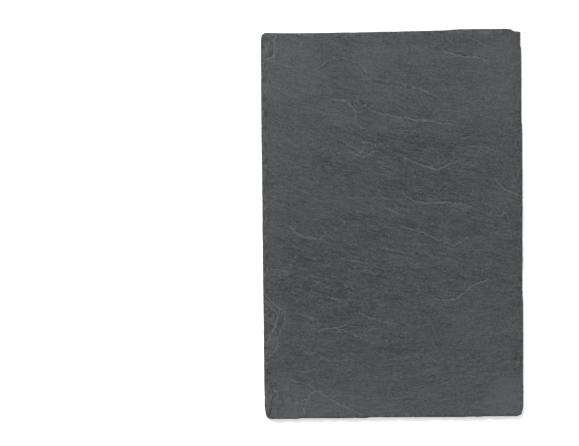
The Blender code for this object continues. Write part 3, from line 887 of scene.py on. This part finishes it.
@dataclass(frozen=True)
class SlateFinish:
    """Dull dark slate: sandy, streaked along its grain, pale on broken leaf edges, layered in its sides; with
    painted shade on the sides, crack, rims and below the lips, and painted highlight on the lips.
    """

    dark: Colour = (0.0205, 0.0212, 0.0226, 1.0)
    light: Colour = (0.07, 0.0723, 0.077, 1.0)
    broken: Colour = (0.1, 0.102, 0.106, 1.0)
    # The sides' leaf colours are real layering, kept a little darker than the face as painted shade of the
    # sides; the dark one is also the painted shade in the crack and along the rims.
    wall_dark_and_painted_shade: Colour = (0.0145, 0.0149, 0.0158, 1.0)
    wall_light: Colour = (0.06, 0.0618, 0.0652, 1.0)
    speck: Colour = (0.22, 0.22, 0.22, 1.0)
    specular: float = 0.24
    relief: float = 0.00034
    levels: float = 11.0
    fray_cells: Triple = (420.0, 420.0, 420.0)
    sand_cells: Triple = (920.0, 920.0, 920.0)
    mottle_cells: Triple = (38.0, 46.0, 38.0)
    band_cells: Triple = (26.0, 130.0, 60.0)
    ripple_cells: Triple = (84.0, 480.0, 400.0)
    strata_cells: Triple = (30.0, 96.0, 60.0)
    gap_cells: Triple = (150.0, 150.0, 150.0)
    streak_cells: Triple = (560.0, 190.0, 300.0)
    leaf_cells: Triple = (55.0, 55.0, 2600.0)
    chalk_cells: Triple = (420.0, 420.0, 1500.0)
    speck_cells: float = 520.0

    def material(self) -> bpy.types.Material:
        """Build the material, from the mesh's own values and its place along the grain.

        Returns:
            The material.
        """
        bench = Bench("riven_slate")
        place = bench.node("ShaderNodeTexCoord", {}, {}, "Object")
        grain = bench.attribute("grain", "Vector")
        crushed = bench.attribute("dressed")
        rough = bench.attribute("rough") * (1.0 - 0.6 * crushed)
        fray = bench.noise(place, self.fray_cells, 3.0, 0.6)
        sand = bench.noise(place, self.sand_cells, 2.0, 0.7)
        mottle = bench.noise(place, self.mottle_cells, 3.0, 0.55)
        bands = bench.noise(grain, self.band_cells, 2.0, 0.55)
        ripples = bench.noise(grain, self.ripple_cells, 3.0, 0.6)
        strata, terraces = self.strata(bench, grain)
        crack = bench.ramp(bench.attribute("crack") + 0.3 * (fray - 0.5), 0.82, 0.92)
        # lip is the pale crest of the ledges' lips, partly broken stone and partly painted highlight; shade
        # is painted shadow on their low side.
        lip, shade = (part * (1.0 + 0.3 * crushed) for part in self.lips(bench, place, fray, sand))
        crumbs, worn = self.crushing(bench, place, crushed, sand)
        tone = 0.46 + 0.285 * bench.attribute("tone") + 0.36 * (mottle - 0.5) + 1.95 * (sand - 0.5)
        tone = tone + rough * (0.42 * (bands - 0.5) + 1.0 * (ripples - 0.5))
        face = bench.mix((tone + worn - 0.32 * shade).held(), self.dark, self.light)
        pale = rough * strata * (0.15 + 0.4 * sand) + lip * (0.1 + 0.8 * sand) + crumbs
        body = bench.mix(pale.held(), face, self.broken)
        # Painted shadow: the crack's line is darkened towards the dark wall colour, besides its shallow
        # groove in the mesh and the bump.
        body = bench.mix(crack * 0.75, body, self.wall_dark_and_painted_shade)
        body = bench.mix(bench.attribute("wall"), body, self.layers(bench, place))
        # Painted shade: the right, far and near rims are darkened towards the dark wall colour.
        body = bench.mix(0.35 * bench.attribute("rim"), body, self.wall_dark_and_painted_shade)
        bench.feed("Base Color", bench.mix(self.specks(bench, place), body, self.speck))
        bench.feed("Roughness", 0.66 + 0.25 * (sand - 0.5) + 0.15 * (mottle - 0.5))
        relief = rough * (0.8 * ripples + 0.3 * terraces) + 1.0 * sand + 1.2 * crushed * fray - 1.0 * crack
        bump = {"Height": relief, "Strength": 1.0, "Distance": self.relief}
        bench.feed("Normal", bench.node("ShaderNodeBump", {}, bump))
        bench.shader.inputs["Specular IOR Level"].default_value = self.specular
        return bench.material

    def strata(self, bench: Bench, grain: Signal) -> tuple[Signal, Signal]:
        """Edges of thin leaves: where a noise drawn out along the grain passes a whole level.

        Args:
            bench: The material's bench.
            grain: The place along and across the grain.

        Returns:
            The pale edges, 0 to 1, and the height of the terraces between them.
        """
        level = bench.noise(grain, self.strata_cells, 4.0, 0.58) * self.levels
        part = level.part()
        return 1.0 - bench.ramp(part, 0.02, 0.2), level - part + bench.ramp(part, 0.0, 0.35)

    def lips(self, bench: Bench, place: Signal, fray: Signal, sand: Signal) -> tuple[Signal, Signal]:
        """Thin broken lips of the ledges: where the distance to a ledge, frayed by noise, passes 0.

        Args:
            bench: The material's bench.
            place: The place on the slab.
            fray: The noise that frays the lines.
            sand: The fine noise.

        Returns:
            The pale lip, part broken stone and part painted highlight, and the painted shadow on its low
            side, both 0 to 1.
        """
        gaps = bench.noise(place, self.gap_cells, 2.0, 0.6)
        shown = bench.ramp(bench.attribute("lip") + 0.9 * (gaps - 0.5), 0.42, 0.75)
        off = bench.attribute("gap") + 1.3 * (fray - 0.5) + 0.7 * (sand - 0.5)
        crest = 1.0 - bench.ramp((off - 0.05).size(), 0.02, 0.42)
        foot = 1.0 - bench.ramp((off + 0.36).size(), 0.02, 0.34)
        return shown * crest, shown * foot

    def crushing(self, bench: Bench, place: Signal, crushed: Signal, sand: Signal) -> tuple[Signal, Signal]:
        """Crushed stone at the dressed rim: light and dark streaks along it, and pale edges of broken leaves.

        A leaf's edge is where the scar's depth, counted in leaves and frayed, passes a whole number.

        Args:
            bench: The material's bench.
            place: The place on the slab.
            crushed: How crushed the stone is, 0 to 1.
            sand: The fine noise.

        Returns:
            How pale the crumbled stone is, from 0 up, and how much its tone changes.
        """
        scar = bench.attribute("scar")
        streaks = bench.noise(place, self.streak_cells, 3.0, 0.65)
        part = (1.1 * scar + 5.0 * (streaks - 0.5)).part()
        edges = 1.0 - bench.ramp(part, 0.04, 0.26)
        crumbs = crushed * (0.24 * bench.ramp(streaks, 0.54, 0.66) + edges * (0.1 + 1.0 * sand) * scar.held())
        shade = 0.2 * bench.ramp(part, 0.75, 0.95) + 0.14 - 0.12 * scar.held()
        return crumbs, crushed * (3.8 * (streaks - 0.5) - shade)

    def layers(self, bench: Bench, place: Signal) -> Signal:
        """Colour of the sides: thin leaves, one above the other, each paler or darker than the next, and
        darker overall as painted shade.

        Args:
            bench: The material's bench.
            place: The place on the slab.

        Returns:
            The colour.
        """
        leaves = bench.noise(place, self.leaf_cells, 3.0, 0.6)
        chalk = bench.noise(place, self.chalk_cells, 2.0, 0.6)
        share = bench.ramp(0.65 * leaves + 0.35 * chalk, 0.36, 0.66)
        return bench.mix(share, self.wall_dark_and_painted_shade, self.wall_light)

    def specks(self, bench: Bench, place: Signal) -> Signal:
        """Pale mineral grains: the middles of some small cells, where the mesh says that they lie.

        Args:
            bench: The material's bench.
            place: The place on the slab.

        Returns:
            0 off the grains and up to 1 on them.
        """
        cells = {"Vector": place, "Scale": self.speck_cells}
        settings = {"voronoi_dimensions": "3D", "feature": "F1"}
        away = bench.node("ShaderNodeTexVoronoi", settings, cells, "Distance")
        chance = bench.node("ShaderNodeTexVoronoi", settings, cells, "Color")
        grain = 1.0 - bench.ramp(away, 0.16, 0.34)
        return grain * bench.ramp(chance + bench.attribute("speck"), 0.97, 1.03) * 0.55


@dataclass(frozen=True)
class FloorFinish:
    """A plain matt white floor."""

    colour: Colour = (0.95, 0.95, 0.95, 1.0)
    glow: float = 0.3
    roughness: float = 0.9

    def material(self) -> bpy.types.Material:
        """Build the material."""
        bench = Bench("pale_floor")
        bench.shader.inputs["Base Color"].default_value = self.colour
        bench.shader.inputs["Emission Color"].default_value = self.colour
        bench.shader.inputs["Emission Strength"].default_value = self.glow
        bench.shader.inputs["Roughness"].default_value = self.roughness
        bench.shader.inputs["Specular IOR Level"].default_value = 0.0
        return bench.material


# The slab


@dataclass
class SlateSlab:
    """The slab's fine surface: a closed box of grid lines, moved onto the riven face, edges and underside."""

    outline: Outline = field(default_factory=Outline)
    grain: Grain = field(default_factory=Grain)
    columns: int = 150
    rows: int = 440
    courses: int = 12
    crowding_x: float = 0.6
    crowding_y: float = 0.35
    batter: float = 0.00055
    broad_inset: float = 0.00026
    ragged_inset: float = 0.00022
    rim_reach: float = 0.0003
    speck_reach: float = 0.0016
    smooth_angle: float = math.radians(50.0)
    specks: tuple[Point, ...] = (
        (0.0742, 0.1281), (-0.0435, 0.1294), (-0.0707, 0.1484), (-0.0686, 0.1425), (-0.0533, 0.1428),
        (-0.0349, 0.1464), (-0.0274, 0.1459), (-0.0668, 0.118), (-0.0677, 0.1093), (0.0023, 0.1264),
        (-0.0156, -0.0784), (-0.0127, -0.0817), (-0.0066, -0.0896), (-0.0203, -0.099), (-0.0222, 0.0566),
        (-0.0932, -0.128), (-0.0918, -0.1262), (-0.0945, -0.13), (-0.0684, -0.1262), (-0.0692, -0.1347),
        (-0.0709, -0.1433), (-0.0996, -0.1057), (-0.0915, -0.1362), (-0.088, 0.138), (-0.0885, 0.133),
    )

    def __post_init__(self) -> None:
        """Set up the two faces."""
        self.face = RivenFace(self.outline, self.grain)
        self.bed = Underside(self.outline)

    def stations(self, half: float, cells: int, crowding: float) -> Array:
        """Grid lines from -half to half: a share of even steps, and the rest by a sine that crowds the ends.

        Args:
            half: Half the slab's size.
            cells: Number of steps.
            crowding: Share of the sine.

        Returns:
            The places of the lines.
        """
        share = np.linspace(-1.0, 1.0, cells + 1)
        return half * ((1.0 - crowding) * share + crowding * np.sin(share * np.pi / 2.0))

    def leaf_inset(self, x: Array, y: Array, level: Array) -> Array:
        """How far the side stands in: more towards the top, and by noise that differs from leaf to leaf.

        Args:
            x: Across the nominal slab.
            y: Along it.
            level: 0 at the bed and 1 at the upper face.

        Returns:
            Insets from the outline.
        """
        around = np.where(np.abs(x) > self.outline.width / 2 - 0.003, y, x + self.outline.length)
        leaf = np.round(level * self.courses / 2.0)
        broad = np.abs(noise(around / 0.014, np.round(level * 3.0) * 1.7 + 0.3, 41))
        ragged = np.abs(noise(around / 0.0034, leaf * 2.3 + 0.4, 42))
        return self.batter * level**2 + self.broad_inset * broad + self.ragged_inset * ragged

    def points(self, x: Array, y: Array, level: Array) -> Array:
        """The surface: the nominal place moved by the outline, between the bed's height and the face's.

        Args:
            x: Across the nominal slab.
            y: Along it.
            level: 0 at the bed and 1 at the upper face.

        Returns:
            Rows of x, y and z.
        """
        shift_x, shift_y = self.outline.shift(x, y, self.leaf_inset(x, y, level))
        top, bottom = self.face.height(x, y), self.bed.height(x, y)
        return np.stack((x + shift_x, y + shift_y, bottom + (top - bottom) * level), axis=1)

    @staticmethod
    def ring(columns: int, rows: int) -> Array:
        """Numbers of a grid's border points, anticlockwise from above, from the near left corner.

        Args:
            columns: Cells across the grid.
            rows: Cells along it.

        Returns:
            The numbers.
        """
        wide = columns + 1
        near = np.arange(columns)
        right = columns + wide * np.arange(rows)
        far = wide * rows + np.arange(columns, 0, -1)
        left = wide * np.arange(rows, 0, -1)
        return np.concatenate((near, right, far, left))

    @staticmethod
    def grid_faces(columns: int, rows: int) -> Array:
        """Four-sided faces of a grid, anticlockwise from above."""
        corner = (np.arange(rows)[:, None] * (columns + 1) + np.arange(columns)).ravel()
        return np.stack((corner, corner + 1, corner + columns + 2, corner + columns + 1), axis=1)

    def surface(self) -> tuple[Array, Array, Array, list[list[int]]]:
        """Lay out the closed box: a fine upper grid, rings down the sides, and an underside half as fine.

        Returns:
            Nominal x, nominal y and level of every point, and the faces.
        """
        xs = self.stations(self.outline.width / 2, self.columns, self.crowding_x)
        ys = self.stations(self.outline.length / 2, self.rows, self.crowding_y)
        top_y, top_x = (part.ravel() for part in np.meshgrid(ys, xs, indexing="ij"))
        low_y, low_x = (part.ravel() for part in np.meshgrid(ys[::2], xs[::2], indexing="ij"))
        ring = self.ring(self.columns, self.rows)
        count, rings = len(ring), self.courses - 1
        side_level = np.repeat(1.0 - np.arange(1, self.courses) / self.courses, count)
        x = np.concatenate((top_x, np.tile(top_x[ring], rings), low_x))
        y = np.concatenate((top_y, np.tile(top_y[ring], rings), low_y))
        level = np.concatenate((np.ones(len(top_x)), side_level, np.zeros(len(low_x))))
        side_start, low_start = len(top_x), len(top_x) + rings * count
        loops = np.vstack((ring, side_start + np.arange(rings * count).reshape(rings, count)))
        upper, lower = loops[:-1], loops[1:]
        sides = np.stack((upper, lower, np.roll(lower, -1, axis=1), np.roll(upper, -1, axis=1)), axis=2)
        last = loops[-1]
        first, middle, after = last[0::2], last[1::2], np.roll(last[0::2], -1)
        foot = low_start + self.ring(self.columns // 2, self.rows // 2)
        next_foot = np.roll(foot, -1)
        corners = ((first, foot, middle), (middle, foot, next_foot), (middle, next_foot, after))
        stitch = np.concatenate([np.stack(corner, axis=1) for corner in corners])
        upper_faces = self.grid_faces(self.columns, self.rows)
        under = low_start + self.grid_faces(self.columns // 2, self.rows // 2)[:, ::-1]
        quads = np.concatenate((upper_faces, sides.reshape(-1, 4), under))
        return x, y, level, quads.tolist() + stitch.tolist()

    @staticmethod
    def centred(points: Array) -> Array:
        """Points moved, not stretched, so that the middle of their outline's box is over the origin."""
        middle = (points.min(axis=0) + points.max(axis=0)) / 2.0
        return points - (middle[0], middle[1], 0.0)

    def values(self, x: Array, y: Array, level: Array) -> dict[str, Array]:
        """The values that the finish reads, each under its attribute's name.

        Args:
            x: Across the nominal slab.
            y: Along it.
            level: 0 at the bed and 1 at the upper face.

        Returns:
            One array of values for each name.
        """
        off_face = (level > 0.02) & (level < 0.98)
        on_top = level > 0.5
        chips = self.face.chips()
        crushed = self.face.scar_leaves * self.face.scarred(x, y)
        top_scar = np.maximum(chips.bowls(x, y) / chips.leaf, crushed)
        scar = np.where(on_top, top_scar, self.bed.chips().bowls(x, y) / chips.leaf)
        face_lip, face_gap = self.face.lips(x, y)
        _, bed_lip, bed_gap = self.bed.flake_depth(x, y)
        from_left = x + self.outline.width / 2
        speck = 0.05 + 0.32 * np.exp(-((from_left / self.speck_reach) ** 2))
        for middle in self.specks:
            speck += 0.9 * np.exp(-((x - middle[0]) ** 2 + (y - middle[1]) ** 2) / self.speck_reach**2)
        return {
            "tone": self.face.tone(x, y),
            "rough": self.face.roughness(x, y),
            "lip": np.where(on_top, face_lip, bed_lip),
            "gap": np.where(on_top, face_gap, bed_gap),
            "scar": scar,
            "dressed": self.face.dressed(x, y),
            # crack: where the finish paints shadow in the crack.
            "crack": self.face.crack_line(x, y) * on_top,
            # rim: where the finish paints shade along the right, far and near rims.
            "rim": self.rim(x, y) * on_top,
            "wall": off_face * 1.0,
            "speck": speck * (level > 0.99),
        }

    def rim(self, x: Array, y: Array) -> Array:
        """How near each point is to the right, far and near rims, where the finish paints shade: e to the
        minus squared distance over reach.

        Args:
            x: Across the nominal slab.
            y: Along it.

        Returns:
            Shares, 1 at the rims.
        """
        right = self.outline.width / 2 - x
        ends = self.outline.length / 2 - np.abs(y)
        return np.exp(-((np.minimum(right, ends) / self.rim_reach) ** 2))

    def build(self) -> bpy.types.Object:
        """Make the piece, give it its finish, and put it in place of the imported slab.

        Returns:
            The piece.
        """
        x, y, level, faces = self.surface()
        points = self.centred(self.points(x, y, level))
        mesh = bpy.data.meshes.new("riven_slate_slab")
        mesh.from_pydata(points.tolist(), [], faces)
        for name, values in self.values(x, y, level).items():
            column = mesh.attributes.new(name, "FLOAT", "POINT").data
            column.foreach_set("value", values.astype(np.float32))
        along, across = self.grain.flow(x, y)
        grain = np.stack((along, across, points[:, 2]), axis=1).astype(np.float32)
        mesh.attributes.new("grain", "FLOAT_VECTOR", "POINT").data.foreach_set("vector", grain.ravel())
        mesh.shade_smooth()
        mesh.set_sharp_from_angle(angle=self.smooth_angle)
        mesh.materials.append(SlateFinish().material())
        slab = bpy.data.objects.new("riven_slate_slab", mesh)
        bpy.context.scene.collection.objects.link(slab)
        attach(slab, "root")
        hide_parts("slate_slab")
        LOG.info("riven_slate_slab: %d points, %d faces", len(mesh.vertices), len(mesh.polygons))
        return slab


# Studio


@dataclass
class Studio:
    """A pale floor, soft light from the far side and above, and a camera straight over the slab."""

    floor_half: float = 6.0
    frame_width: float = 0.4497
    lens: float = 400.0
    sensor: float = 36.0
    sight: float = 50.0
    camera_place: Point = (-0.0802, 0.0015)
    camera_turn: float = math.radians(0.6)
    key_power: float = 108.0
    key_size: float = 1.2
    key_place: Triple = (-0.8, 2.1, 2.5)
    sky: float = 0.68

    def floor(self) -> None:
        """Lay the floor."""
        mesh = bpy.data.meshes.new("floor")
        half = self.floor_half
        corners = [(-half, -half, 0.0), (half, -half, 0.0), (half, half, 0.0), (-half, half, 0.0)]
        mesh.from_pydata(corners, [], [(0, 1, 2, 3)])
        mesh.materials.append(FloorFinish().material())
        floor = bpy.data.objects.new("floor", mesh)
        bpy.context.scene.collection.objects.link(floor)

    def lights(self) -> None:
        """Hang a large soft light beyond the far edge, and let an even sky fill the shade."""
        light = bpy.data.lights.new("key", "AREA")
        light.energy = self.key_power
        light.size = self.key_size
        key = bpy.data.objects.new("key", light)
        key.location = self.key_place
        key.rotation_euler = Vector(self.key_place).to_track_quat("Z", "Y").to_euler()
        bpy.context.scene.collection.objects.link(key)
        world = bpy.data.worlds.new("studio")
        world.use_nodes = True
        backdrop = world.node_tree.nodes["Background"]
        backdrop.inputs["Color"].default_value = (1.0, 1.0, 1.0, 1.0)
        backdrop.inputs["Strength"].default_value = self.sky
        bpy.context.scene.world = world

    def camera(self) -> None:
        """Hang a long-lensed camera straight above, turned a little, so that the slab lies askew."""
        lens = bpy.data.cameras.new("camera")
        lens.lens = self.lens
        lens.sensor_width = self.sensor
        lens.clip_end = self.sight
        camera = bpy.data.objects.new("camera", lens)
        height = self.frame_width * self.lens / self.sensor + RivenFace.thickness
        turn = Matrix.Rotation(-self.camera_turn, 4, "Z")
        camera.matrix_world = Matrix.Translation((*self.camera_place, height)) @ turn
        bpy.context.scene.collection.objects.link(camera)
        bpy.context.scene.camera = camera

    def build(self) -> None:
        """Set up floor, lights, camera and the picture's plain colours."""
        self.floor()
        self.lights()
        self.camera()
        bpy.context.scene.view_settings.view_transform = "Standard"
        LOG.info("studio: floor, lights and camera")


def main() -> None:
    """Build the slab and the studio."""
    SlateSlab().build()
    Studio().build()


if __name__ == "__main__":
    main()
